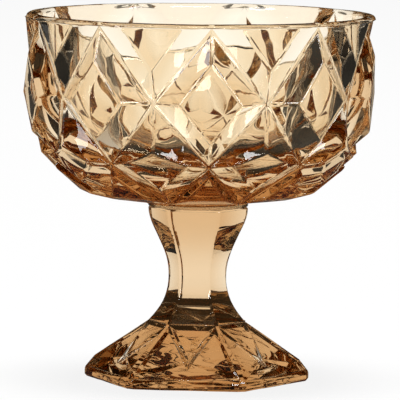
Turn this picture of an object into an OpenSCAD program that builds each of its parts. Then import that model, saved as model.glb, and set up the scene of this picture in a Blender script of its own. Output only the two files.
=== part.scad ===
// Amber pressed-glass dessert cup. A round bowl carries rows of raised diamonds between V grooves,
// a thin disc of glass fuses it to a six-sided stem, and the stem flares into a six-cornered foot.
// Millimetres. The cup stands on z = 0 with its axis on +Z and a corner of the foot on +X.

/* [Bowl] */
// Outer diameter at the rim
rim_d = 105; // [90:0.5:120]
// Height of the bowl from its seat to the rim
bowl_h = 56.8; // [50:0.2:64]
// Wall thickness at the rim
rim_wall = 4; // [3:0.1:5.5]
// Height of the plain rim above the top ends of the grooves
rim_band_h = 2.2; // [1.8:0.1:4]
// Rounding on both edges of the lip
lip_round_r = 1.2; // [0.6:0.1:1.4]
// Glass under the middle of the hollow
floor_t = 9.5; // [7:0.1:13]
// How far the inside wall leans in between the mouth and the floor
wall_draft = 3; // [1:0.1:5]
// Diameter of the round seat under the bowl
seat_d = 30.4; // [26:0.2:36]
// Height of the round seat
seat_h = 0.3; // [0.2:0.1:1.4]

/* [Diamonds] */
// Diamonds in each row round the bowl
diamond_count = 9; // [8:1:11]
// Depth of the V grooves where they cross
groove_depth = 3.9; // [2.5:0.1:5]
// Step from the rim band in to the triangles under it
table_step = 0.2; // [0.1:0.05:0.6]
// How far the diamonds swell past the rim
diamond_swell = 0.25; // [0:0.05:0.8]

/* [Joint] */
// Diameter of the fused disc between bowl and stem
wafer_d = 30; // [25:0.2:34]
// Thickness of the fused disc
wafer_t = 1; // [0.6:0.1:2]

/* [Stem] */
// Height of the stem and foot together
stem_h = 52.2; // [46:0.2:60]
// Width across the corners at the top of the stem
stem_top_d = 31; // [26:0.2:36]
// Width across the corners at the waist
waist_d = 18; // [14:0.2:22]
// Height of the waist above the table
waist_h = 31; // [26:0.2:36]
// Width of the narrow flat along each ridge of the stem
ridge_land = 1.2; // [0.6:0.1:2]
// Chamfer round the top of the stem
seam_chamfer = 0.5; // [0.3:0.1:0.8]

/* [Foot] */
// Width across the corners of the foot
foot_d = 69.2; // [60:0.2:80]
// Width of the flat that blunts each corner of the foot
foot_land = 2.8; // [1.4:0.1:4]
// Height of the upright edge of the foot
edge_h = 3; // [2:0.1:4.5]
// Chamfer under the upright edge
base_chamfer = 0.8; // [0.4:0.1:1.2]
// Width across the corners where the stem opens into the foot
flare_d = 30.2; // [26:0.2:38]
// Height where the stem opens into the foot
flare_h = 17.5; // [14:0.2:20]
// Depth of the facets below the ridges of the foot
facet_sink = 0.5; // [0.2:0.05:0.9]
// Diameter of the hollow under the foot
dish_d = 44; // [30:0.5:50]
// Depth of the hollow under the foot
dish_h = 1; // [0.5:0.1:2]

/* [Hidden] */
$fn = 120;
overrun = 1;
amber = [0.86, 0.6, 0.3, 0.85];

rim_r = rim_d / 2;
pitch = 360 / diamond_count;
half_pitch = pitch / 2;
corner_count = 6;
corner_pitch = 360 / corner_count;

// Places in the rows of diamonds: heights as shares of the bowl, radii as shares of the rim
cross_height_share = 0.585;
shoulder_height_share = 0.252;
heel_height_share = 0.036;
shoulder_radius_share = 0.893;
heel_radius_share = 0.635;
rim_groove_share = 0.62;
band_rise_share = 0.42;

// Table corners: heights as shares of the way from one row of nodes to the next
triangle_spread_share = 0.465;
triangle_apex_share = 0.55;
diamond_spread_share = 0.505;
diamond_top_share = 0.44;
diamond_foot_share = 0.62;
diamond_foot_radius_share = 0.978;
kite_spread_share = 0.66;
kite_top_share = 0.78;
kite_foot_share = 0.54;
kite_top_radius_share = 0.93;
kite_foot_radius_share = 0.785;
kite_wing_share = 0.95;
heel_spread_share = 0.5;
heel_top_share = 0.23;
heel_edge_share = 0.87;
heel_top_radius_share = 0.85;
heel_edge_radius_share = 0.665;

// The hollow is (depth share)^4.5 + (radius share)^4 = 1 between its leaning walls, and ends flat at the middle
hollow_depth_power = 4.5;
hollow_radius_power = 4;
hollow_step_count = 28;
lip_step_count = 6;
base_cone_share = 0.95;

// Stem and foot
top_ease_power = 1.2;
flare_power = 2.2;
upper_ring_count = 12;
lower_ring_count = 8;
shoulder_out_share = 0.85;
shoulder_up_share = 0.24;
apex_out_share = 0.7;
apex_up_share = 0.31;
facet_share = 0.84;
facet_dip_share = 1.6;

function mix(from, to, share) = from + (to - from) * share;
function at_angle(angle, radius, height) = [radius * cos(angle), radius * sin(angle), height];
// A point on an upright plane that stands `out` from the axis, `turn` away from its middle
function on_plane(angle, turn, out, height) = at_angle(angle + turn, out / cos(turn), height);
function mean(points) = [for (axis = [0:2]) sum([for (p = points) p[axis]]) / len(points)];
function sum(values, i = 0) = i < len(values) ? values[i] + sum(values, i + 1) : 0;
function unit(v) = v / norm(v);
// Two triangles for a four-sided face, split from its first or its second corner
function quad(a, b, c, d, second = false) =
    second ? [[a, b, d], [b, c, d]] : [[a, b, c], [a, c, d]];

// Rows of groove nodes, from the rim down
rim_row_z = bowl_h - rim_band_h;
cross_row_z = bowl_h * cross_height_share;
shoulder_row_z = bowl_h * shoulder_height_share;
heel_row_z = bowl_h * heel_height_share;
rim_row_r = rim_r - rim_wall * rim_groove_share;
cross_row_r = rim_r - groove_depth;
shoulder_row_r = rim_r * shoulder_radius_share - groove_depth;
heel_row_r = rim_r * heel_radius_share - groove_depth;

// Table planes
table_r = rim_r - table_step;
band_rise = rim_band_h * band_rise_share;
triangle_turn = half_pitch * triangle_spread_share;
triangle_out = table_r * cos(triangle_turn);
triangle_apex_z = mix(rim_row_z, cross_row_z, triangle_apex_share);
diamond_turn = half_pitch * diamond_spread_share;
diamond_top_out = rim_r + diamond_swell;
diamond_top_z = mix(rim_row_z, cross_row_z, diamond_top_share);
diamond_foot_z = mix(cross_row_z, shoulder_row_z, diamond_foot_share);
diamond_foot_out = rim_r * diamond_foot_radius_share;
diamond_wing_out = mix(diamond_top_out, diamond_foot_out,
    (diamond_top_z - cross_row_z) / (diamond_top_z - diamond_foot_z));
kite_turn = half_pitch * kite_spread_share;
kite_top_z = mix(cross_row_z, shoulder_row_z, kite_top_share);
kite_foot_z = mix(shoulder_row_z, heel_row_z, kite_foot_share);
kite_wing_z = mix(cross_row_z, shoulder_row_z, kite_wing_share);
kite_top_out = rim_r * kite_top_radius_share;
kite_foot_out = rim_r * kite_foot_radius_share;
kite_wing_out = mix(kite_top_out, kite_foot_out, (kite_top_z - kite_wing_z) / (kite_top_z - kite_foot_z));
heel_turn = half_pitch * heel_spread_share;
heel_top_z = mix(shoulder_row_z, heel_row_z, heel_top_share);
heel_edge_z = mix(shoulder_row_z, heel_row_z, heel_edge_share);

// Points of one repeat of the pattern: `a` runs through its diamond's middle, `b` half a pitch on
function repeat(a, b) = [
    at_angle(a, rim_row_r, rim_row_z),
    at_angle(b, cross_row_r, cross_row_z),
    at_angle(a, shoulder_row_r, shoulder_row_z),
    at_angle(b, heel_row_r, heel_row_z),
    on_plane(b, -triangle_turn, triangle_out, rim_row_z),
    on_plane(b, triangle_turn, triangle_out, rim_row_z),
    on_plane(b, 0, triangle_out, triangle_apex_z),
    on_plane(a, 0, diamond_top_out, diamond_top_z),
    on_plane(a, diamond_turn, diamond_wing_out, cross_row_z),
    on_plane(a, 0, diamond_foot_out, diamond_foot_z),
    on_plane(a, -diamond_turn, diamond_wing_out, cross_row_z),
    on_plane(b, 0, kite_top_out, kite_top_z),
    on_plane(b, kite_turn, kite_wing_out, kite_wing_z),
    on_plane(b, 0, kite_foot_out, kite_foot_z),
    on_plane(b, -kite_turn, kite_wing_out, kite_wing_z),
    on_plane(a, 0, rim_r * heel_top_radius_share, heel_top_z),
    on_plane(a, heel_turn, rim_r * heel_edge_radius_share, heel_edge_z),
    on_plane(a, -heel_turn, rim_r * heel_edge_radius_share, heel_edge_z),
    at_angle(a, table_r, rim_row_z + band_rise),
    on_plane(b, -triangle_turn, triangle_out, rim_row_z + band_rise),
    on_plane(b, triangle_turn, triangle_out, rim_row_z + band_rise)
];

// Index of a point of repeat i, counted round the bowl, by its place in the list above
function spot(place, i) = place * diamond_count + (i + diamond_count) % diamond_count;
function rim_node(i) = spot(0, i);
function cross_node(i) = spot(1, i);
function shoulder_node(i) = spot(2, i);
function heel_node(i) = spot(3, i);
function triangle(i) = [spot(4, i), spot(5, i), spot(6, i)];
function diamond(i) = [spot(7, i), spot(8, i), spot(9, i), spot(10, i)];
function kite(i) = [spot(11, i), spot(12, i), spot(13, i), spot(14, i)];
function stud(i) = [spot(15, i), spot(16, i), spot(17, i)];
function band(i) = [spot(18, i), spot(19, i), spot(20, i)];

// A raised cell: bevels from the groove corners up to the table corners, and the table
function cell(outer, inner) = concat(
    [for (i = [0:len(outer) - 1]) let (j = (i + 1) % len(outer))
        each quad(outer[i], outer[j], inner[j], inner[i], i % 2 == 1)],
    len(inner) == 4 ? quad(inner[0], inner[1], inner[2], inner[3]) : [inner]);
// A triangle under the rim has no bevel along its top, where it runs up into the rim band
function rim_triangle(i) = let (table = triangle(i), low = band(i), next = band(i + 1)) concat(
    [table],
    quad(rim_node(i), table[0], table[2], cross_node(i), true),
    quad(table[1], rim_node(i + 1), cross_node(i), table[2]),
    quad(low[0], low[1], table[0], rim_node(i)),
    quad(low[1], low[2], table[1], table[0]),
    quad(low[2], next[0], rim_node(i + 1), table[1], true));
function repeat_faces(i) = concat(
    rim_triangle(i),
    cell([rim_node(i), cross_node(i), shoulder_node(i), cross_node(i - 1)], diamond(i)),
    cell([cross_node(i), shoulder_node(i + 1), heel_node(i), shoulder_node(i)], kite(i)),
    cell([shoulder_node(i), heel_node(i), heel_node(i - 1)], stud(i)));

// The pattern as one closed body, from the rim band down to the heel of the bowl
module diamond_body() {
    sectors = [0:diamond_count - 1];
    repeats = [for (i = sectors) repeat(i * pitch, i * pitch + half_pitch)];
    polyhedron(
        points = [for (place = [0:len(repeats[0]) - 1], i = sectors) repeats[i][place]],
        faces = concat(
            [for (i = sectors) each repeat_faces(i)],
            [[for (i = sectors, j = [2:-1:0]) band(diamond_count - 1 - i)[j]]],
            [[for (i = sectors) heel_node(i)]]));
}

// Points of a quarter round about a centre
function quarter(centre, radius, from) = [for (i = [0:lip_step_count])
    centre + radius * [cos(from + 90 * i / lip_step_count), sin(from + 90 * i / lip_step_count)]];

// The plain round band with the outer half of the lip
module rim_band() {
    rotate_extrude() polygon(concat(
        [[0, rim_row_z + band_rise / 2], [rim_r, rim_row_z + band_rise / 2]],
        quarter([rim_r - lip_round_r, bowl_h - lip_round_r], lip_round_r, 0),
        [[0, bowl_h]]));
}

// The underside between the heel and the round seat
module seat() {
    cone_r = heel_row_r * cos(half_pitch) * base_cone_share;
    rotate_extrude() polygon([[0, 0], [seat_d / 2, 0], [seat_d / 2, seat_h],
        [cone_r, heel_row_z], [cone_r, heel_row_z + seat_h], [0, heel_row_z + seat_h]]);
}

// The space that the bowl holds, with the inner half of the lip
module hollow() {
    mouth_r = rim_r - rim_wall;
    depth = bowl_h - floor_t;
    function wall_r(share) = (mouth_r - wall_draft * share)
        * pow(1 - pow(share, hollow_depth_power), 1 / hollow_radius_power);
    lip_share = lip_round_r / depth;
    rotate_extrude() polygon(concat(
        [for (i = [0:hollow_step_count]) let (share = mix(lip_share, 1, sin(90 * i / hollow_step_count)))
            [wall_r(share), bowl_h - depth * share]],
        [[0, bowl_h + overrun], [mouth_r + lip_round_r, bowl_h + overrun]],
        quarter([mouth_r + lip_round_r, bowl_h - lip_round_r], lip_round_r, 90)));
}

// Bowl pressing, standing on its own seat at z = 0 before it is lifted on to the stem
module bowl() {
    color(amber) translate([0, 0, stem_h + wafer_t]) difference() {
        union() {
            diamond_body();
            rim_band();
            seat();
        }
        hollow();
    }
}

// Soft disc of glass pressed between bowl and stem, with a round edge
module joining_wafer() {
    edge_r = wafer_t / 2;
    core_r = wafer_d / 2 - edge_r;
    color(amber) translate([0, 0, stem_h]) rotate_extrude() polygon(concat(
        [[0, 0]],
        quarter([core_r, edge_r], edge_r, -90),
        quarter([core_r, edge_r], edge_r, 0),
        [[0, wafer_t]]));
}

// Twelve corners of a level of the stem: both ends of the narrow flat on each ridge
function ring(corner_r, height, land) = [for (k = [0:corner_count - 1], side = [-1, 1])
    let (along = corner_r - land / 2 * tan(corner_pitch / 2), angle = k * corner_pitch)
    [along * cos(angle) - side * land / 2 * sin(angle),
     along * sin(angle) + side * land / 2 * cos(angle), height]];

function ease(u) = u * u * (3 - 2 * u);
foot_r = foot_d / 2;
flare_r = flare_d / 2;
waist_r = waist_d / 2;
stem_top_r = stem_top_d / 2;
stem_side_h = stem_h - seam_chamfer;
// Levels of the foot and stem, each [corner radius, height, ridge flat], from the table up
levels = concat(
    [[foot_r - base_chamfer, 0, foot_land], [foot_r, base_chamfer, foot_land], [foot_r, edge_h, foot_land],
     [mix(flare_r, foot_r, shoulder_out_share), mix(edge_h, flare_h, shoulder_up_share), foot_land]],
    [for (i = [0:lower_ring_count - 1]) let (u = 1 - i / lower_ring_count)
        [mix(waist_r, flare_r, pow(u, flare_power)), mix(waist_h, flare_h, u), ridge_land]],
    [for (i = [0:upper_ring_count]) let (u = i / upper_ring_count)
        [mix(waist_r, stem_top_r, ease(pow(u, top_ease_power))), mix(waist_h, stem_side_h, u), ridge_land]],
    [[stem_top_r - seam_chamfer, stem_h, ridge_land]]);
ring_count = 2 * corner_count;
function on_ring(level, j) = level * ring_count + (j + ring_count) % ring_count;
function on_base(j) = on_ring(1, j);
function on_edge(j) = on_ring(2, j);
function on_shoulder(j) = on_ring(3, j);
function on_flare(j) = on_ring(4, j);
ring_list = [for (level = levels) each ring(level[0], level[1], level[2])];

// Each side of the foot: a pointed facet below the stem and two petals, sunk between their ridges
sides = [0:corner_count - 1];
flat_share = cos(corner_pitch / 2);
apex_out = mix(flare_r, foot_r, apex_out_share) * flat_share;
apex_z = mix(edge_h, flare_h, apex_up_share);
function side_angle(k) = (k + 0.5) * corner_pitch;
function apex(k) = len(ring_list) + k;
function middle(k) = apex(k) + corner_count;
facet_first = middle(corner_count);
frame_list = concat(ring_list,
    [for (k = sides) at_angle(side_angle(k), apex_out, apex_z)],
    [for (k = sides) at_angle(side_angle(k), foot_r * flat_share, edge_h)]);
function facets(k) = let (left = 2 * k + 1, right = 2 * k + 2) [
    [on_flare(left), on_flare(right), apex(k)],
    [on_flare(left), apex(k), middle(k), on_edge(left), on_shoulder(left)],
    [apex(k), on_flare(right), on_shoulder(right), on_edge(right), middle(k)]];
facet_list = [for (k = sides) each facets(k)];
// Corners of a sunk facet, then its middle, which lies deeper still
function sunk(corners) = let (
    points = [for (c = corners) frame_list[c]],
    centre = mean(points),
    inward = unit(cross(points[1] - points[0], points[2] - points[0])) * facet_sink)
    concat([for (p = points) mix(centre, p, facet_share) + inward], [centre + inward * facet_dip_share]);
sunk_list = [for (f = facet_list) each sunk(f)];
function sunk_start(i) = i == 0 ? facet_first : sunk_start(i - 1) + len(facet_list[i - 1]) + 1;
function facet_faces(i) = let (outer = facet_list[i], n = len(outer), first = sunk_start(i))
    [for (c = [0:n - 1]) let (d = (c + 1) % n)
        each concat(quad(outer[c], outer[d], first + d, first + c), [[first + c, first + d, first + n]])];
// The upright edge of one side, which has a corner at its middle for the petals
function edge_faces(k) = let (left = 2 * k + 1, right = 2 * k + 2) [
    [on_edge(left), middle(k), on_base(left)],
    [middle(k), on_base(right), on_base(left)],
    [middle(k), on_edge(right), on_base(right)]];
function strip(level, j) =
    quad(on_ring(level + 1, j), on_ring(level + 1, j + 1), on_ring(level, j + 1), on_ring(level, j));

// Solid stem and foot: chamfer, ridge flats of the foot, sides of the stem, and the foot's facets
module stem_body() {
    top = len(levels) - 1;
    round = [0:ring_count - 1];
    polyhedron(
        points = concat(frame_list, sunk_list),
        faces = concat(
            [for (j = round) each strip(0, j)],
            [for (level = [1:3], k = sides) each strip(level, 2 * k)],
            [for (level = [4:top - 1], j = round) each strip(level, j)],
            [for (k = sides) each edge_faces(k)],
            [for (i = [0:len(facet_list) - 1]) each facet_faces(i)],
            [[for (j = round) on_ring(top, ring_count - 1 - j)]],
            [[for (j = round) on_ring(0, j)]]));
}

// Stem and foot pressing, with a shallow hollow under the foot
module stem_and_foot() {
    dish_r = (dish_d * dish_d / 4 + dish_h * dish_h) / (2 * dish_h);
    color(amber) difference() {
        stem_body();
        translate([0, 0, dish_h - dish_r]) sphere(r = dish_r);
    }
}

bowl();
joining_wafer();
stem_and_foot();
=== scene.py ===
"""Looks of an amber pressed-glass dessert cup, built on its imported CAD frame.

The bowl, the joining wafer and the stem with its foot are modelled again with fire-polished edges and the
slight ripple of pressed glass. Each one takes the place of the CAD node of the same name.
"""

import logging
import math
from dataclasses import dataclass
from enum import Enum
from typing import Callable, Sequence

import bmesh
import bpy
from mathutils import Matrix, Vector

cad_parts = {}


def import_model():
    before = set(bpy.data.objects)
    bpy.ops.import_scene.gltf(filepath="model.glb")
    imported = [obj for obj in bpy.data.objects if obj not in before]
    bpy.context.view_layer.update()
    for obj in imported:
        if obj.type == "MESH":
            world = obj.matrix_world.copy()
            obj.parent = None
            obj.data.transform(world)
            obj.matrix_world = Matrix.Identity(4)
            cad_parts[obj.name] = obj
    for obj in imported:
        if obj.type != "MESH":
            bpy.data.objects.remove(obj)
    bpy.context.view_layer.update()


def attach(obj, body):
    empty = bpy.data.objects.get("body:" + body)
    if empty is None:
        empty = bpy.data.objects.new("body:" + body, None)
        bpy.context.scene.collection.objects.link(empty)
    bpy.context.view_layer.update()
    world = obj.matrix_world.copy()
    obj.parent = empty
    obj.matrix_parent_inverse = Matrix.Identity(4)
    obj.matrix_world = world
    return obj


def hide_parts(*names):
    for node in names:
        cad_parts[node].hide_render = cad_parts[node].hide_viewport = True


MM = 0.001
AXIS = (0.0, 0.0, 0.0)
UPWARDS = (0.0, 0.0, 1.0)
WHITE = (1.0, 1.0, 1.0, 1.0)
RIGHT_ANGLE = 90.0
HALF_TURN = 180.0
# Two places that are closer than this count as one.
NEAR = 0.001 * MM
# A fire-polished edge is a full round with this many steps.
POLISH_STEPS = 3
POLISH_PROFILE = 0.5
# Each face is divided this many times, so that the ripple has points to move.
DIVISIONS = 2
# Rings of a flat end, as shares of its radius. The second one keeps its edge crisp.
END_SHARES = (1.0, 0.97, 0.8, 0.6, 0.4, 0.2)
# Light crosses many walls of the cup on its way to the camera.
GLASS_BOUNCES = 24
MIRROR_BOUNCES = 16
LOG = logging.getLogger("dessert_cup")

Ring = tuple[float, float]
Span = tuple[float, float]
Colour = tuple[float, float, float, float]


class Slot(Enum):
    """Material slots of the record."""

    BOWL = "bowl_glass"
    WAFER = "wafer_glass"
    STEM = "stem_glass"


class Quarter(Enum):
    """Quarters of a round in the profile, each by the angle in degrees at which it starts."""

    LOWER_OUTER = -90.0
    UPPER_OUTER = 0.0
    UPPER_INNER = 90.0


def mix(start: float, end: float, share: float) -> float:
    """Returns the value a share of the way from start to end."""
    return start + (end - start) * share


def ease(share: float) -> float:
    """Returns a share that leaves 0 and reaches 1 gently."""
    return share * share * (3 - 2 * share)


def at_height(vertex: bmesh.types.BMVert, height: float) -> bool:
    """Says whether a vertex lies at a height."""
    return abs(vertex.co.z - height) < NEAR


def quarter(centre: Ring, radius: float, part: Quarter, steps: int = 6) -> list[Ring]:
    """Works out the rings of a quarter round.

    Args:
        centre: Radius and height of its centre.
        radius: Radius of the round.
        part: Which quarter it is.
        steps: Steps along it.

    Returns:
        Radius and height of each ring.
    """
    rings = []
    for step in range(steps + 1):
        angle = math.radians(part.value + RIGHT_ANGLE * step / steps)
        rings.append((centre[0] + radius * math.cos(angle), centre[1] + radius * math.sin(angle)))
    return rings


@dataclass(frozen=True)
class Spot:
    """A corner of the pressed pattern, placed round the axis of the cup.

    Attributes:
        turn: Angle round the axis from +X, in degrees.
        radius: Distance from the axis.
        height: Height above the table.
    """

    turn: float
    radius: float
    height: float

    def place(self) -> Vector:
        """Returns the corner as a point."""
        angle = math.radians(self.turn)
        return Vector((self.radius * math.cos(angle), self.radius * math.sin(angle), self.height))


def on_flat(middle: float, turn: float, out: float, height: float) -> Spot:
    """Returns a corner of an upright flat, a turn from its middle, at its distance out and a height."""
    return Spot(middle + turn, out / math.cos(math.radians(turn)), height)


def lozenge(middle: float, turn: float, top: Ring, foot: Ring, wing: float) -> tuple[Spot, ...]:
    """Lays out a flat with four corners.

    Args:
        middle: Angle of its middle.
        turn: Angle from there to a wing.
        top: Radius and height of its top.
        foot: Radius and height of its foot.
        wing: Height of its wings.

    Returns:
        Its top, a wing, its foot and the other wing.
    """
    out = mix(top[0], foot[0], (top[1] - wing) / (top[1] - foot[1]))
    return (on_flat(middle, 0.0, *top), on_flat(middle, turn, out, wing),
            on_flat(middle, 0.0, *foot), on_flat(middle, -turn, out, wing))


@dataclass(frozen=True)
class Cell:
    """A raised cell of the pattern.

    Attributes:
        groove: Its corners at the bottom of the grooves.
        table: The corners of the flat on it, in the same order.
        open_top: Whether it runs on upwards past its top edge.
    """

    groove: tuple[Spot, ...]
    table: tuple[Spot, ...]
    open_top: bool = False


class Bench:
    """One mesh on the bench, shaped in edit mode with a modeller's tools."""

    def __init__(self, name: str) -> None:
        """Starts an empty piece in edit mode.

        Args:
            name: Name of the piece.
        """
        bpy.ops.object.select_all(action="DESELECT")
        bpy.ops.mesh.primitive_circle_add(vertices=3, radius=MM, fill_type="NOTHING")
        self.piece = bpy.context.object
        self.piece.name = name
        self.piece.data.name = name
        bpy.ops.object.mode_set(mode="EDIT")
        bpy.ops.mesh.delete(type="VERT")

    def mesh(self) -> bmesh.types.BMesh:
        """Opens the mesh under edit, with its table of vertices ready.

        Returns:
            The mesh.
        """
        mesh = bmesh.from_edit_mesh(self.piece.data)
        mesh.verts.ensure_lookup_table()
        return mesh

    def pick_all(self) -> None:
        """Selects the whole mesh."""
        bpy.ops.mesh.select_mode(type="VERT")
        bpy.ops.mesh.select_all(action="SELECT")

    def pick_faces(self, test: Callable[[bmesh.types.BMFace], bool]) -> None:
        """Selects the faces that pass a test, and nothing else.

        Args:
            test: Says whether a face is wanted.
        """
        bpy.ops.mesh.select_mode(type="FACE")
        bpy.ops.mesh.select_all(action="DESELECT")
        for face in self.mesh().faces:
            face.select = test(face)
        bmesh.update_edit_mesh(self.piece.data)

    def pick_edges(self, test: Callable[[bmesh.types.BMEdge], bool]) -> None:
        """Selects the edges that pass a test, and nothing else.

        Args:
            test: Says whether an edge is wanted.
        """
        bpy.ops.mesh.select_mode(type="EDGE")
        bpy.ops.mesh.select_all(action="DESELECT")
        for edge in self.mesh().edges:
            edge.select = test(edge)
        bmesh.update_edit_mesh(self.piece.data)

    def pick_rim(self, height: float, above: bool) -> None:
        """Selects the open edges on one side of a height.

        Args:
            height: The height that parts them.
            above: Whether the edges above it are wanted.
        """
        def wanted(edge: bmesh.types.BMEdge) -> bool:
            """Says whether an open edge lies on the wanted side."""
            return edge.is_boundary and all((v.co.z > height) == above for v in edge.verts)

        self.pick_edges(wanted)

    def drag(self, index: int, target: Vector) -> None:
        """Moves one vertex to a place.

        Args:
            index: Number of the vertex.
            target: Where it goes.
        """
        bpy.ops.mesh.select_mode(type="VERT")
        bpy.ops.mesh.select_all(action="DESELECT")
        vertex = self.mesh().verts[index]
        vertex.select = True
        bpy.ops.transform.translate(value=target - vertex.co)

    def widen(self, factor: float) -> None:
        """Scales what is selected away from the axis of the cup."""
        bpy.ops.transform.resize(value=(factor, factor, 1.0), center_override=AXIS)

    def lift(self, rise: float) -> None:
        """Extrudes what is selected straight up or down."""
        bpy.ops.mesh.extrude_region_move(TRANSFORM_OT_translate={"value": (0.0, 0.0, rise)})

    def first_picked(self) -> Ring:
        """Returns the radius and height of the first selected vertex."""
        corner = next(vertex.co for vertex in self.mesh().verts if vertex.select)
        return math.hypot(corner.x, corner.y), corner.z

    def round_off(self, radius: float) -> None:
        """Rounds the selected level loop to a circle of a radius about the axis."""
        bpy.ops.transform.tosphere(value=1.0)
        self.widen(radius / self.first_picked()[0])

    def draw_on(self, rings: Sequence[Ring], stands_for: float = 0.0) -> None:
        """Extrudes the selected level loop through a row of rings.

        Args:
            rings: Radius and height of each ring.
            stands_for: Radius that the loop stands for, where its first vertex lies elsewhere.
        """
        radius, height = self.first_picked()
        radius = stands_for or radius
        for next_radius, next_height in rings:
            self.lift(next_height - height)
            self.widen(next_radius / radius)
            radius = next_radius
            height = next_height

    def close_pole(self) -> None:
        """Closes the selected loop with a fan to one point on the axis."""
        self.lift(0.0)
        bpy.ops.mesh.merge(type="CENTER")

    def merge(self) -> None:
        """Merges vertices that lie on each other."""
        self.pick_all()
        bpy.ops.mesh.remove_doubles(threshold=NEAR)

    def fire_polish(self, width: float, test: Callable[[bmesh.types.BMEdge], bool]) -> None:
        """Rounds the edges between two faces that pass a test, as fire polishing does.

        Args:
            width: Width of the rounding on each side of an edge.
            test: Says whether such an edge is rounded.
        """
        self.pick_edges(lambda edge: len(edge.link_faces) == 2 and test(edge))
        bpy.ops.mesh.bevel(offset=width, segments=POLISH_STEPS, profile=POLISH_PROFILE, affect="EDGES",
                           clamp_overlap=True)

    def refine(self) -> None:
        """Divides every face without changing the shape."""
        bpy.ops.object.mode_set(mode="OBJECT")
        surface = self.piece.modifiers.new("refine", "SUBSURF")
        surface.subdivision_type = "SIMPLE"
        surface.levels = DIVISIONS
        surface.render_levels = DIVISIONS
        bpy.ops.object.modifier_apply(modifier=surface.name)
        bpy.ops.object.mode_set(mode="EDIT")

    def finish(self) -> bpy.types.Object:
        """Turns the faces outwards and leaves edit mode.

        Returns:
            The finished piece.
        """
        self.merge()
        bpy.ops.mesh.normals_make_consistent(inside=False)
        bpy.ops.object.mode_set(mode="OBJECT")
        bpy.ops.object.shade_smooth()
        return self.piece


@dataclass(frozen=True)
class Ripple:
    """The slight unevenness that a mould leaves in glass.

    Attributes:
        depth: Greatest depth.
        spread: Width of one wave.
        layers: Layers of finer waves.
    """

    depth: float = 0.22 * MM
    spread: float = 9.0 * MM
    layers: int = 1

    def press(self, piece: bpy.types.Object, group: str = "") -> None:
        """Presses the ripple into a piece, inwards only.

        Args:
            piece: The piece that takes it.
            group: Group of vertices that takes it, or nothing for the whole piece.
        """
        waves = bpy.data.textures.new(piece.name + "_waves", "CLOUDS")
        waves.noise_scale = self.spread
        waves.noise_depth = self.layers
        displace = piece.modifiers.new("mould_ripple", "DISPLACE")
        displace.texture = waves
        displace.texture_coords = "LOCAL"
        displace.strength = self.depth
        displace.mid_level = 1.0
        displace.vertex_group = group
        bpy.ops.object.select_all(action="DESELECT")
        piece.select_set(True)
        bpy.context.view_layer.objects.active = piece
        bpy.ops.object.modifier_apply(modifier=displace.name)


@dataclass(frozen=True)
class AmberGlass:
    """Clear amber glass, coloured in its depth and faintly at its skin.

    Attributes:
        skin: Colour that the skin of the glass lets through.
        tint: Colour that the depth of the glass lets through.
        density: Strength of the tint per metre.
        refraction: Index of refraction.
        ripple_width: Width of the fine waves in the surface.
        ripple_height: Height of the fine waves.
        ripple_detail: Layers of still finer waves.
    """

    skin: Colour = (1.0, 0.93, 0.79, 1.0)
    tint: Colour = (0.86, 0.715, 0.515, 1.0)
    density: float = 100.0
    refraction: float = 1.52
    ripple_width: float = 7.0 * MM
    ripple_height: float = 0.02 * MM
    ripple_detail: float = 1.0

    def material(self, name: str) -> bpy.types.Material:
        """Makes the glass as a material.

        Args:
            name: Name of the material.

        Returns:
            The new material.
        """
        material = bpy.data.materials.new(name)
        material.use_nodes = True
        nodes = material.node_tree.nodes
        links = material.node_tree.links
        shader = nodes["Principled BSDF"]
        shader.inputs["Base Color"].default_value = self.skin
        shader.inputs["Roughness"].default_value = 0.0
        shader.inputs["IOR"].default_value = self.refraction
        shader.inputs["Transmission Weight"].default_value = 1.0
        depth = nodes.new("ShaderNodeVolumeAbsorption")
        depth.inputs["Color"].default_value = self.tint
        depth.inputs["Density"].default_value = self.density
        links.new(depth.outputs["Volume"], nodes["Material Output"].inputs["Volume"])
        place = nodes.new("ShaderNodeTexCoord")
        waves = nodes.new("ShaderNodeTexNoise")
        waves.inputs["Scale"].default_value = 1.0 / self.ripple_width
        waves.inputs["Detail"].default_value = self.ripple_detail
        bump = nodes.new("ShaderNodeBump")
        bump.inputs["Distance"].default_value = self.ripple_height
        links.new(place.outputs["Object"], waves.inputs["Vector"])
        links.new(waves.outputs["Fac"], bump.inputs["Height"])
        links.new(bump.outputs["Normal"], shader.inputs["Normal"])
        return material


def fit(piece: bpy.types.Object, node: str, glass: bpy.types.Material) -> None:
    """Gives a piece its material and puts it in the place of its CAD node.

    Args:
        piece: The finished piece.
        node: CAD node that it stands for.
        glass: Material of the piece.
    """
    piece.data.materials.clear()
    piece.data.materials.append(glass)
    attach(piece, "root")
    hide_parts(node)


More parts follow.
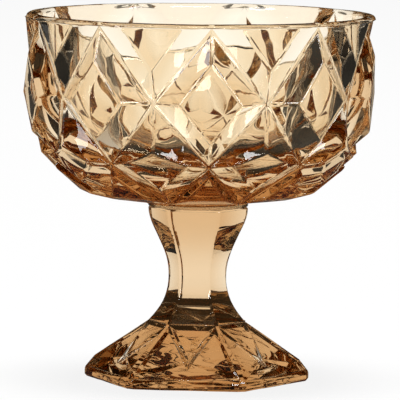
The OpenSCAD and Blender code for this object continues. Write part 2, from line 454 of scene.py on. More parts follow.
@dataclass
class BowlPressing:
    """Round bowl with raised diamonds between V grooves, smooth inside.

    Heights are measured from the seat of the bowl. The pattern's places are shares: a height share is one of
    the bowl's height, a radius share one of the rim's radius, and a spread share one of half the pitch. A
    top, apex, wing, edge or foot share is one of the way down from one row of groove nodes to the next.

    Attributes:
        base: Height of the seat above the table.
        height: Height of the bowl.
        rim_radius: Outer radius at the rim.
        rim_wall: Thickness at the rim.
        rim_band: Height of the plain rim above the grooves.
        lip_radius: Rounding of the lip.
        floor: Glass under the hollow.
        wall_draft: How far the inside wall leans in between the mouth and the floor.
        seat_radius: Radius of the round seat.
        seat_height: Height of the round seat.
        count: Repeats of the pattern round the bowl.
        groove_depth: Depth of the grooves where they cross.
        table_step: Step from the rim in to the triangles.
        diamond_swell: How far the diamonds stand past the rim.
        arris: Width of the rounding on each side of an edge.
        border: Width of the border that holds a flat.
        sharp_angle: Angle between two faces past which their edge is rounded, in degrees.
        flat_least: Least width of a flat that gets a border, in roundings.
        rim_groove_share: Depth of the grooves' ends under the rim, as a share of the wall.
        band_rise_share: How far the pattern's flats run up the rim band, as a share of it.
        underside_share: Radius at which the underside starts, as a share of the heel's.
        slope_shares: Rings of the slope from there in to the seat, as shares of the way.
        hollow_depth_power: Power of the depth in the hollow's curve.
        hollow_radius_power: Power of the radius in the hollow's curve.
        hollow_steps: Steps down the hollow.
        hollow_crowding: Power that crowds those steps towards the floor.
        inside_fade: Height below the lip over which the waves inside set in.
        inside_group: Name of the group of vertices inside.
        inside_ripple: Waves of the inside.
    """

    base: float = 53.2 * MM
    height: float = 56.8 * MM
    rim_radius: float = 52.5 * MM
    rim_wall: float = 4.0 * MM
    rim_band: float = 2.2 * MM
    lip_radius: float = 1.2 * MM
    floor: float = 9.5 * MM
    wall_draft: float = 3.0 * MM
    seat_radius: float = 15.2 * MM
    seat_height: float = 0.3 * MM
    count: int = 9
    groove_depth: float = 3.9 * MM
    table_step: float = 0.2 * MM
    diamond_swell: float = 0.25 * MM
    arris: float = 0.75 * MM
    border: float = 0.2 * MM
    sharp_angle: float = 3.0
    flat_least: float = 6.0
    cross_height_share: float = 0.585
    shoulder_height_share: float = 0.252
    heel_height_share: float = 0.036
    shoulder_radius_share: float = 0.893
    heel_radius_share: float = 0.635
    rim_groove_share: float = 0.62
    band_rise_share: float = 0.42
    triangle_spread_share: float = 0.465
    triangle_apex_share: float = 0.55
    diamond_spread_share: float = 0.505
    diamond_top_share: float = 0.44
    diamond_foot_share: float = 0.62
    diamond_foot_radius_share: float = 0.978
    kite_spread_share: float = 0.66
    kite_top_share: float = 0.78
    kite_foot_share: float = 0.54
    kite_top_radius_share: float = 0.93
    kite_foot_radius_share: float = 0.785
    kite_wing_share: float = 0.95
    stud_spread_share: float = 0.5
    stud_top_share: float = 0.23
    stud_edge_share: float = 0.87
    stud_top_radius_share: float = 0.85
    stud_edge_radius_share: float = 0.665
    underside_share: float = 0.893
    slope_shares: tuple[float, ...] = (0.15, 0.3, 0.45, 0.6, 0.75, 0.9, 1.0)
    hollow_depth_power: float = 4.5
    hollow_radius_power: float = 4.0
    hollow_steps: int = 80
    hollow_crowding: float = 2.5
    inside_fade: float = 8.0 * MM
    inside_group: str = "smooth_inside"
    inside_ripple: Ripple = Ripple(depth=0.4 * MM, spread=10.0 * MM)

    def __post_init__(self) -> None:
        """Works out the rows, the groove nodes of each row and the rim from the sizes."""
        self.half = HALF_TURN / self.count
        self.top = self.base + self.height
        self.lip_row = self.top - self.lip_radius
        self.mouth_radius = self.rim_radius - self.rim_wall
        self.table_radius = self.rim_radius - self.table_step
        self.rim_row = self.top - self.rim_band
        self.band_row = self.rim_row + self.rim_band * self.band_rise_share
        self.cross_row = self.base + self.height * self.cross_height_share
        self.shoulder_row = self.base + self.height * self.shoulder_height_share
        self.heel_row = self.base + self.height * self.heel_height_share
        shoulder_radius = self.rim_radius * self.shoulder_radius_share
        heel_radius = self.rim_radius * self.heel_radius_share - self.groove_depth
        self.rim_node = (self.rim_radius - self.rim_wall * self.rim_groove_share, self.rim_row)
        self.cross_node = (self.rim_radius - self.groove_depth, self.cross_row)
        self.shoulder_node = (shoulder_radius - self.groove_depth, self.shoulder_row)
        self.heel_node = (heel_radius, self.heel_row)
        self.underside_radius = heel_radius * self.underside_share

    def triangle(self) -> Cell:
        """Lays out the triangle under the rim, which runs up into the rim band.

        Returns:
            The triangle.
        """
        turn = self.half * self.triangle_spread_share
        out = self.table_radius * math.cos(math.radians(turn))
        apex = mix(self.rim_row, self.cross_row, self.triangle_apex_share)
        table = (on_flat(self.half, -turn, out, self.rim_row),
                 on_flat(self.half, 0.0, out, apex),
                 on_flat(self.half, turn, out, self.rim_row))
        groove = (Spot(0.0, *self.rim_node), Spot(self.half, *self.cross_node),
                  Spot(2 * self.half, *self.rim_node))
        return Cell(groove, table, open_top=True)

    def diamond(self) -> Cell:
        """Lays out the large diamond.

        Returns:
            The diamond.
        """
        turn = self.half * self.diamond_spread_share
        top = (self.rim_radius + self.diamond_swell,
               mix(self.rim_row, self.cross_row, self.diamond_top_share))
        foot = (self.rim_radius * self.diamond_foot_radius_share,
                mix(self.cross_row, self.shoulder_row, self.diamond_foot_share))
        groove = (Spot(0.0, *self.rim_node), Spot(self.half, *self.cross_node),
                  Spot(0.0, *self.shoulder_node), Spot(-self.half, *self.cross_node))
        return Cell(groove, lozenge(0.0, turn, top, foot, self.cross_row))

    def kite(self) -> Cell:
        """Lays out the kite on the shoulder of the bowl.

        Returns:
            The kite.
        """
        turn = self.half * self.kite_spread_share
        wing = mix(self.cross_row, self.shoulder_row, self.kite_wing_share)
        top = (self.rim_radius * self.kite_top_radius_share,
               mix(self.cross_row, self.shoulder_row, self.kite_top_share))
        foot = (self.rim_radius * self.kite_foot_radius_share,
                mix(self.shoulder_row, self.heel_row, self.kite_foot_share))
        groove = (Spot(self.half, *self.cross_node), Spot(2 * self.half, *self.shoulder_node),
                  Spot(self.half, *self.heel_node), Spot(0.0, *self.shoulder_node))
        return Cell(groove, lozenge(self.half, turn, top, foot, wing))

    def stud(self) -> Cell:
        """Lays out the small triangle at the heel of the bowl.

        Returns:
            The stud.
        """
        turn = self.half * self.stud_spread_share
        top = mix(self.shoulder_row, self.heel_row, self.stud_top_share)
        edge = mix(self.shoulder_row, self.heel_row, self.stud_edge_share)
        edge_out = self.rim_radius * self.stud_edge_radius_share
        table = (on_flat(0.0, 0.0, self.rim_radius * self.stud_top_radius_share, top),
                 on_flat(0.0, turn, edge_out, edge),
                 on_flat(0.0, -turn, edge_out, edge))
        groove = (Spot(0.0, *self.shoulder_node), Spot(self.half, *self.heel_node),
                  Spot(-self.half, *self.heel_node))
        return Cell(groove, table)

    def press_cell(self, bench: Bench, cell: Cell) -> None:
        """Lays one face between the grooves, insets it and draws the inner face out to the table.

        Args:
            bench: The bench with the bowl on it.
            cell: The cell to make.
        """
        corners = len(cell.groove)
        bpy.ops.mesh.select_all(action="DESELECT")
        bpy.ops.mesh.primitive_circle_add(vertices=corners, radius=self.rim_wall, fill_type="NGON")
        first = len(bench.mesh().verts) - corners

        def along_rim(face: bmesh.types.BMFace) -> bool:
            """Says whether a face of this cell lies all along the row under the rim."""
            is_new = face.verts[0].index >= first
            return is_new and all(vertex.co.z > self.rim_row - NEAR for vertex in face.verts)

        for step, spot in enumerate(cell.groove):
            bench.drag(first + step, spot.place())
        bench.pick_faces(lambda face: all(vertex.index >= first for vertex in face.verts))
        bpy.ops.mesh.inset(thickness=self.arris)
        inner = next(face for face in bench.mesh().faces if face.select)
        order = [min(inner.verts, key=lambda v: (v.co - spot.place()).length).index for spot in cell.groove]
        for index, spot in zip(order, cell.table):
            bench.drag(index, spot.place())
        if cell.open_top:
            bench.pick_faces(along_rim)
            bpy.ops.mesh.delete(type="FACE")

    def spin_round(self, bench: Bench) -> None:
        """Copies the repeat round the axis and joins the copies.

        Args:
            bench: The bench with one repeat on it.
        """
        bench.pick_all()
        angle = math.tau * (self.count - 1) / self.count
        bpy.ops.mesh.spin(steps=self.count - 1, dupli=True, angle=angle, center=AXIS, axis=UPWARDS)
        bench.merge()

    def is_arris(self, edge: bmesh.types.BMEdge) -> bool:
        """Says whether an edge of the pattern is sharp. The upright edges of the rim band are not counted."""
        below = min(vertex.co.z for vertex in edge.verts) < self.rim_row - NEAR
        return below and edge.calc_face_angle() > math.radians(self.sharp_angle)

    def hold_flats(self, bench: Bench) -> None:
        """Borders each flat narrowly, so that it stays flat beside the rounding.

        Args:
            bench: The bench with the bowl on it.
        """
        least = (self.flat_least * self.arris) ** 2
        bench.pick_faces(lambda face: face.calc_area() > least and face.calc_center_median().z < self.rim_row)
        bpy.ops.mesh.inset(thickness=self.border, use_individual=True)

    def build(self) -> bpy.types.Object:
        """Models the bowl: one repeat of the pattern, spun round, then the lip, the hollow and the seat.

        Returns:
            The bowl.
        """
        bench = Bench("bowl_pressing")
        for cell in (self.triangle(), self.diamond(), self.kite(), self.stud()):
            self.press_cell(bench, cell)
        bench.merge()
        self.spin_round(bench)
        bench.pick_rim(self.heel_row + NEAR, above=False)
        bench.draw_on([(self.underside_radius, self.heel_row)])
        bench.pick_rim(self.rim_row - NEAR, above=True)
        bench.lift(self.band_row - self.rim_row)
        bench.fire_polish(self.arris, self.is_arris)
        self.hold_flats(bench)
        bench.pick_rim(self.band_row - NEAR, above=True)
        bench.round_off(self.table_radius)
        bench.refine()
        self.raise_rim(bench)
        self.lay_seat(bench)
        bowl = bench.finish()
        self.group_inside(bowl)
        return bowl

    def group_inside(self, bowl: bpy.types.Object) -> None:
        """Groups the vertices of the hollow, with a weight that fades out towards the lip.

        Args:
            bowl: The finished bowl.
        """
        group = bowl.vertex_groups.new(name=self.inside_group)
        floor_row = self.base + self.floor - NEAR
        for vertex in bowl.data.vertices:
            faces_in = vertex.co.xy.dot(vertex.normal.xy) <= 0
            if faces_in and floor_row < vertex.co.z < self.lip_row:
                weight = min(1.0, (self.lip_row - vertex.co.z) / self.inside_fade)
                group.add([vertex.index], weight, "REPLACE")

    def hollow(self) -> list[Ring]:
        """Works out the smooth inside, from below the lip almost to the middle of the floor.

        Returns:
            Radius and height of each ring.
        """
        depth = self.height - self.floor
        start = self.lip_radius / depth
        rings = []
        for step in range(1, self.hollow_steps):
            share = mix(1.0, start, (1 - step / self.hollow_steps) ** self.hollow_crowding)
            curve = (1 - share**self.hollow_depth_power) ** (1 / self.hollow_radius_power)
            wall = self.mouth_radius - self.wall_draft * share
            rings.append((wall * curve, self.top - depth * share))
        return rings

    def raise_rim(self, bench: Bench) -> None:
        """Draws the top of the pattern up to the lip and down the inside.

        Args:
            bench: The bench with the bowl on it.
        """
        bench.pick_rim(self.band_row - NEAR, above=True)
        bench.lift((self.lip_row - self.band_row) / 2)
        bench.round_off(self.rim_radius)
        outer = (self.rim_radius - self.lip_radius, self.lip_row)
        inner = (self.mouth_radius + self.lip_radius, self.lip_row)
        bench.draw_on(quarter(outer, self.lip_radius, Quarter.UPPER_OUTER))
        bench.draw_on(quarter(inner, self.lip_radius, Quarter.UPPER_INNER))
        bench.draw_on(self.hollow())
        bench.close_pole()

    def lay_seat(self, bench: Bench) -> None:
        """Draws the heel of the pattern in to the round seat.

        Args:
            bench: The bench with the bowl on it.
        """
        bench.pick_rim(self.heel_row + NEAR, above=False)
        radius = bench.first_picked()[0]
        seat_row = self.base + self.seat_height
        slope = []
        for share in self.slope_shares:
            slope.append((mix(radius, self.seat_radius, share), mix(self.heel_row, seat_row, share)))
        bench.lift(slope[0][1] - self.heel_row)
        bench.round_off(slope[0][0])
        bench.draw_on(slope[1:])
        bench.draw_on([(self.seat_radius * share, self.base) for share in END_SHARES])
        bench.close_pole()

    def dress(self, bowl: bpy.types.Object, glass: AmberGlass) -> None:
        """Presses the ripples into the bowl and fits it with its glass.

        Args:
            bowl: The finished bowl.
            glass: What it is made of.
        """
        Ripple().press(bowl)
        self.inside_ripple.press(bowl, self.inside_group)
        fit(bowl, "bowl", glass.material("bowl_amber_glass"))


@dataclass
class JoiningWafer:
    """Thin disc of glass that fuses the bowl to the stem.

    Attributes:
        base: Height of its underside.
        thickness: Thickness of the disc.
        radius: Radius of the disc.
        sunk: How far it sinks into its neighbours, as fused glass does.
        sides: Sides of the disc.
    """

    base: float = 52.2 * MM
    thickness: float = 1.0 * MM
    radius: float = 15.0 * MM
    sunk: float = 0.03 * MM
    sides: int = 128

    def build(self) -> bpy.types.Object:
        """Models the disc with a full round edge.

        Returns:
            The wafer.
        """
        bench = Bench("joining_wafer_disc")
        low = self.base - self.sunk
        half = self.thickness / 2 + self.sunk
        core = self.radius - half
        middle = self.base + self.thickness / 2
        bpy.ops.mesh.primitive_circle_add(vertices=self.sides, radius=core, fill_type="NOTHING",
                                          location=(0.0, 0.0, low))
        bench.draw_on(quarter((core, middle), half, Quarter.LOWER_OUTER)[1:])
        bench.draw_on(quarter((core, middle), half, Quarter.UPPER_OUTER)[1:])
        shares = END_SHARES[2:]
        bench.draw_on([(core * share, middle + half) for share in shares])
        bench.close_pole()
        bench.pick_rim(low + NEAR, above=False)
        bench.draw_on([(core * share, low) for share in shares])
        bench.close_pole()
        return bench.finish()

    def dress(self, wafer: bpy.types.Object, glass: AmberGlass) -> None:
        """Fits the wafer with its glass."""
        fit(wafer, "joining_wafer", glass.material("wafer_amber_glass"))


@dataclass
class StemAndFoot:
    """Solid six-sided stem that narrows to a waist and flares into a six-cornered foot.

    An out share is one of the way from the flare out to the foot's corners, and an up share one of the way
    from the foot's edge up to the flare.

    Attributes:
        height: Height of stem and foot together.
        corners: Corners of stem and foot.
        top_radius: Radius over the corners at the top.
        waist_radius: Radius over the corners at the waist.
        waist_height: Height of the waist.
        land: Width of the flat along each ridge.
        chamfer: Chamfer round the top.
        flare_radius: Radius over the corners where the foot begins.
        flare_height: Height where the foot begins.
        foot_radius: Radius over the corners of the foot.
        edge_height: Height of the upright edge.
        base_chamfer: Chamfer under the upright edge.
        foot_round: Width of the rounding along the top of the upright edge.
        facet_border: Width of the slope round a facet.
        facet_sink: Depth of a facet.
        dish_radius: Radius of the hollow under the foot.
        dish_depth: Depth of that hollow.
        arris: Width of the rounding on each side of an edge.
        border: Width of the border that holds a flat.
        sharp_angle: Angle between two faces past which their edge is rounded, in degrees.
        side_slack: Angle from the middle line of a side that still counts as on it, in degrees.
        flat_least: Least width of a flat that gets a border, in roundings.
        upper_steps: Rings from the top down to the waist.
        upper_power: Power of the curve above the waist.
        lower_steps: Rings from the waist down to the flare.
        lower_power: Power of the curve below the waist.
        facet_dip_share: Extra depth in the middle of a facet, as a share of its depth.
        dish_lip_share: Place of the ring round the hollow, as a share of the way to the sole's edge.
        dish_shares: Rings of the hollow, as shares of its radius.
        mottled_share: Share of the hollow's radius that is mottled.
        sole_group: Name of the group of vertices in the hollow.
        sole_ripple: Mottle of the hollow.
    """

    height: float = 52.2 * MM
    corners: int = 6
    top_radius: float = 15.5 * MM
    waist_radius: float = 9.0 * MM
    waist_height: float = 31.0 * MM
    land: float = 1.2 * MM
    chamfer: float = 0.5 * MM
    flare_radius: float = 15.1 * MM
    flare_height: float = 17.5 * MM
    foot_radius: float = 34.6 * MM
    edge_height: float = 3.0 * MM
    base_chamfer: float = 0.8 * MM
    foot_round: float = 0.9 * MM
    facet_border: float = 1.1 * MM
    facet_sink: float = 0.6 * MM
    dish_radius: float = 22.0 * MM
    dish_depth: float = 1.0 * MM
    arris: float = 0.3 * MM
    border: float = 0.2 * MM
    sharp_angle: float = 16.0
    side_slack: float = 3.0
    flat_least: float = 6.0
    upper_steps: int = 14
    upper_power: float = 1.2
    lower_steps: int = 9
    lower_power: float = 2.2
    shoulder_out_share: float = 0.85
    shoulder_up_share: float = 0.24
    apex_out_share: float = 0.7
    apex_up_share: float = 0.31
    facet_dip_share: float = 0.6
    dish_lip_share: float = 0.1
    dish_shares: tuple[float, ...] = (1.0, 0.85, 0.7, 0.55, 0.4, 0.25, 0.1)
    mottled_share: float = 0.95
    sole_group: str = "hollow_under_foot"
    sole_ripple: Ripple = Ripple(depth=0.7 * MM, spread=5.0 * MM)

    def __post_init__(self) -> None:
        """Works out the knee of the ridges, the points of the facets and the angles of the sides."""
        self.side_top = self.height - self.chamfer
        self.half_side = HALF_TURN / self.corners
        self.sides = [self.half_side * (2 * side + 1) for side in range(self.corners)]
        self.knee = (mix(self.flare_radius, self.foot_radius, self.shoulder_out_share),
                     mix(self.edge_height, self.flare_height, self.shoulder_up_share))
        flat_share = math.cos(math.radians(self.half_side))
        self.apex = (mix(self.flare_radius, self.foot_radius, self.apex_out_share) * flat_share,
                     mix(self.edge_height, self.flare_height, self.apex_up_share))

    def stem_rings(self) -> list[Ring]:
        """Works out the stem below its top ring, down to the flare.

        Returns:
            Radius over the corners and height of each ring.
        """
        rings = []
        for step in range(1, self.upper_steps + 1):
            share = 1 - step / self.upper_steps
            rings.append((mix(self.waist_radius, self.top_radius, ease(share**self.upper_power)),
                          mix(self.waist_height, self.side_top, share)))
        for step in range(1, self.lower_steps + 1):
            share = step / self.lower_steps
            rings.append((mix(self.waist_radius, self.flare_radius, share**self.lower_power),
                          mix(self.waist_height, self.flare_height, share)))
        return rings

    def build(self) -> bpy.types.Object:
        """Models the stem ring by ring, cuts the foot's facets and closes both ends.

        Returns:
            The stem with its foot.
        """
        bench = Bench("stem_and_foot_pressing")
        bpy.ops.mesh.primitive_circle_add(vertices=self.corners, radius=self.top_radius, fill_type="NOTHING",
                                          location=(0.0, 0.0, self.side_top),
                                          rotation=(0.0, 0.0, math.radians(self.half_side)))
        # Cut back this far along both sides, a corner of six leaves a flat as wide as the land.
        bpy.ops.mesh.bevel(offset=self.land / math.sqrt(3), affect="VERTICES")
        bench.pick_all()
        bench.draw_on(self.stem_rings(), stands_for=self.top_radius)
        bench.draw_on([self.knee, (self.foot_radius, self.edge_height)], stands_for=self.flare_radius)
        self.cut_facets(bench)
        self.close_ends(bench)
        bench.pick_all()
        bpy.ops.mesh.normals_make_consistent(inside=False)
        bench.fire_polish(self.foot_round, self.on_foot_rim)
        bench.fire_polish(self.arris, self.is_arris)
        self.hold_flats(bench)
        bench.refine()
        stem = bench.finish()
        self.group_sole(stem)
        return stem

    def group_sole(self, stem: bpy.types.Object) -> None:
        """Groups the vertices of the hollow under the foot, clear of its edge.

        Args:
            stem: The finished stem with its foot.
        """
        sole = stem.vertex_groups.new(name=self.sole_group)
        rim = self.dish_radius * self.mottled_share
        for vertex in stem.data.vertices:
            if vertex.co.z < self.dish_depth + NEAR and vertex.co.xy.length < rim:
                sole.add([vertex.index], 1.0, "REPLACE")

    def hold_flats(self, bench: Bench) -> None:
        """Borders each facet and each side of the stem narrowly, so that it stays flat beside the rounding.

        Args:
            bench: The bench with the stem on it.
        """
        def on_stem(face: bmesh.types.BMFace) -> bool:
            """Says whether a face belongs to a side of the stem."""
            middle = face.calc_center_median()
            return self.on_side(middle) and self.flare_height < middle.z < self.side_top

        def on_foot(face: bmesh.types.BMFace) -> bool:
            """Says whether a face is a large one of the foot's upper side."""
            low = self.edge_height < face.calc_center_median().z < self.flare_height
            return low and face.calc_area() > (self.flat_least * self.arris) ** 2

        bench.pick_faces(on_stem)
        bpy.ops.mesh.inset(thickness=self.border)
        bench.pick_faces(on_foot)
        bpy.ops.mesh.inset(thickness=self.border, use_individual=True)

    def is_arris(self, edge: bmesh.types.BMEdge) -> bool:
        """Says whether an edge is sharp and stands out."""
        return edge.is_convex and edge.calc_face_angle() > math.radians(self.sharp_angle)

    def on_foot_rim(self, edge: bmesh.types.BMEdge) -> bool:
        """Says whether an edge runs along the top of the upright edge of the foot."""
        return all(at_height(vertex, self.edge_height) for vertex in edge.verts)

    def nearest_side(self, place: Vector) -> float:
        """Returns the angle of the side of the foot that a place is nearest to."""
        angle = math.atan2(place.y, place.x)
        return min(self.sides, key=lambda side: -math.cos(angle - math.radians(side)))

    def on_side(self, place: Vector) -> bool:
        """Says whether a place lies on the middle line of a side of the foot."""
        turn = math.atan2(place.y, place.x) - math.radians(self.nearest_side(place))
        return math.cos(turn) > math.cos(math.radians(self.side_slack))

    def cut_facets(self, bench: Bench) -> None:
        """Cuts a pointed facet and two petals into each side of the foot, and sinks them.

        Args:
            bench: The bench with the stem on it.
        """
        flare = self.flare_height - NEAR
        low = self.edge_height + NEAR

        def spans_side(edge: bmesh.types.BMEdge, height: float) -> bool:
            """Says whether an edge runs across a side at a height."""
            middle = (edge.verts[0].co + edge.verts[1].co) / 2
            return all(at_height(v, height) for v in edge.verts) and self.on_side(middle)

        def below_flare(face: bmesh.types.BMFace) -> bool:
            """Says whether a face is a side of the foot."""
            middle = face.calc_center_median()
            return middle.z < flare and self.on_side(middle)

        def is_point(vertex: bmesh.types.BMVert) -> bool:
            """Says whether a vertex is a facet's point."""
            return self.on_side(vertex.co) and at_height(vertex, self.apex[1])

        def is_spare(edge: bmesh.types.BMEdge) -> bool:
            """Says whether an edge runs from a facet's point to the ridges below the flare."""
            point, end = sorted(edge.verts, key=lambda v: abs(v.co.z - self.apex[1]))
            return is_point(point) and end.co.z < flare and not self.on_side(end.co)

        bench.pick_edges(lambda edge: spans_side(edge, self.knee[1]))
        bpy.ops.mesh.dissolve_edges(use_verts=False)
        bench.pick_faces(below_flare)
        bpy.ops.mesh.poke()
        bench.pick_edges(lambda edge: spans_side(edge, self.edge_height))
        bpy.ops.mesh.subdivide(number_cuts=1)
        hubs = [v.index for v in bench.mesh().verts if self.on_side(v.co) and low < v.co.z < flare]
        for hub in hubs:
            side = self.nearest_side(bench.mesh().verts[hub].co)
            bench.drag(hub, Spot(side, *self.apex).place())
        bench.pick_edges(is_spare)
        bpy.ops.mesh.dissolve_edges(use_verts=False)
        bench.pick_all()
        bpy.ops.mesh.normals_make_consistent(inside=False)
        bench.pick_faces(lambda face: any(is_point(vertex) for vertex in face.verts))
        bpy.ops.mesh.inset(thickness=self.facet_border, depth=-self.facet_sink, use_individual=True)
        bpy.ops.mesh.poke(offset=-self.facet_dip_share * self.facet_sink)

    def close_ends(self, bench: Bench) -> None:
        """Closes the top with its chamfer, and the underside with its shallow hollow.

        Args:
            bench: The bench with the stem on it.
        """
        bench.pick_rim(self.side_top - NEAR, above=True)
        seam = self.top_radius - self.chamfer
        bench.draw_on([(seam * share, self.height) for share in END_SHARES], stands_for=self.top_radius)
        bench.close_pole()
        bench.pick_rim(self.edge_height + NEAR, above=False)
        sole = self.foot_radius - self.base_chamfer
        bench.draw_on([(self.foot_radius, self.base_chamfer), (sole, 0.0), (sole - self.base_chamfer, 0.0)],
                      stands_for=self.foot_radius)
        bench.lift(0.0)
        bench.round_off(mix(self.dish_radius, sole, self.dish_lip_share))
        dish = []
        for share in self.dish_shares:
            dish.append((self.dish_radius * share, self.dish_depth * (1 - share * share)))
        bench.draw_on(dish)
        bench.close_pole()

    def dress(self, stem: bpy.types.Object, glass: AmberGlass) -> None:
        """Presses the ripple and the mottle into the stem and foot and fits them with their glass.

        Args:
            stem: The finished stem with its foot.
            glass: What it is made of.
        """
        Ripple().press(stem)
        self.sole_ripple.press(stem, self.sole_group)
        fit(stem, "stem_and_foot", glass.material("stem_amber_glass"))


@dataclass(frozen=True)
class SoftBox:
    """A soft box in front of the cup.

    Attributes:
        name: Name of the light.
        turn: Angle from the camera to the right, in degrees.
        lift: Angle above the place that it is aimed at, in degrees.
        width: Width of the box.
        tall: Height of the box.
        watts: Power of the box.
        distance: Distance from the place that it is aimed at.
    """

    name: str
    turn: float
    lift: float
    width: float
    tall: float
    watts: float
    distance: float = 0.8


@dataclass(frozen=True)
class Ramp:
    """A smooth change of brightness over a value.

    Attributes:
        start: Value at which it starts.
        end: Value at which it ends.
        first: Brightness before the start.
        last: Brightness past the end.
    """

    start: float
    end: float
    first: float
    last: float

    def add(self, tree: bpy.types.NodeTree, value: bpy.types.NodeSocket) -> bpy.types.NodeSocket:
        """Adds the ramp to a node tree.

        Args:
            tree: The tree.
            value: The value that it follows.

        Returns:
            The brightness.
        """
        ramp = tree.nodes.new("ShaderNodeMapRange")
        ramp.interpolation_type = "SMOOTHSTEP"
        ramp.inputs["From Min"].default_value = self.start
        ramp.inputs["From Max"].default_value = self.end
        ramp.inputs["To Min"].default_value = self.first
        ramp.inputs["To Max"].default_value = self.last
        tree.links.new(value, ramp.inputs["Value"])
        return ramp.outputs["Result"]


def brighter(tree: bpy.types.NodeTree, one: bpy.types.NodeSocket,
             other: bpy.types.NodeSocket) -> bpy.types.NodeSocket:
    """Adds a node that takes the brighter of two values.

    Args:
        tree: The tree to add it to.
        one: One value.
        other: The other value.

    Returns:
        The brighter value.
    """
    node = tree.nodes.new("ShaderNodeMath")
    node.operation = "MAXIMUM"
    tree.links.new(one, node.inputs[0])
    tree.links.new(other, node.inputs[1])
    return node.outputs["Value"]


def blank_material(piece: bpy.types.Object) -> bpy.types.NodeTree:
    """Gives a piece of the stage a material of its own name, with no nodes yet.

    Args:
        piece: The piece of the stage.

    Returns:
        The node tree of the material.
    """
    material = bpy.data.materials.new(piece.name)
    material.use_nodes = True
    material.node_tree.nodes.clear()
    piece.data.materials.append(material)
    return material.node_tree


def area_lamp(name: str, width: float, tall: float, watts: float) -> bpy.types.Object:
    """Adds an area light that the camera does not see.

    Args:
        name: Name of the light.
        width: Width of the light.
        tall: Height of the light.
        watts: Power of the light.

    Returns:
        The light.
    """
    data = bpy.data.lights.new(name, "AREA")
    data.shape = "RECTANGLE"
    data.size = width
    data.size_y = tall
    data.energy = watts
    lamp = bpy.data.objects.new(name, data)
    bpy.context.scene.collection.objects.link(lamp)
    lamp.visible_camera = False
    return lamp


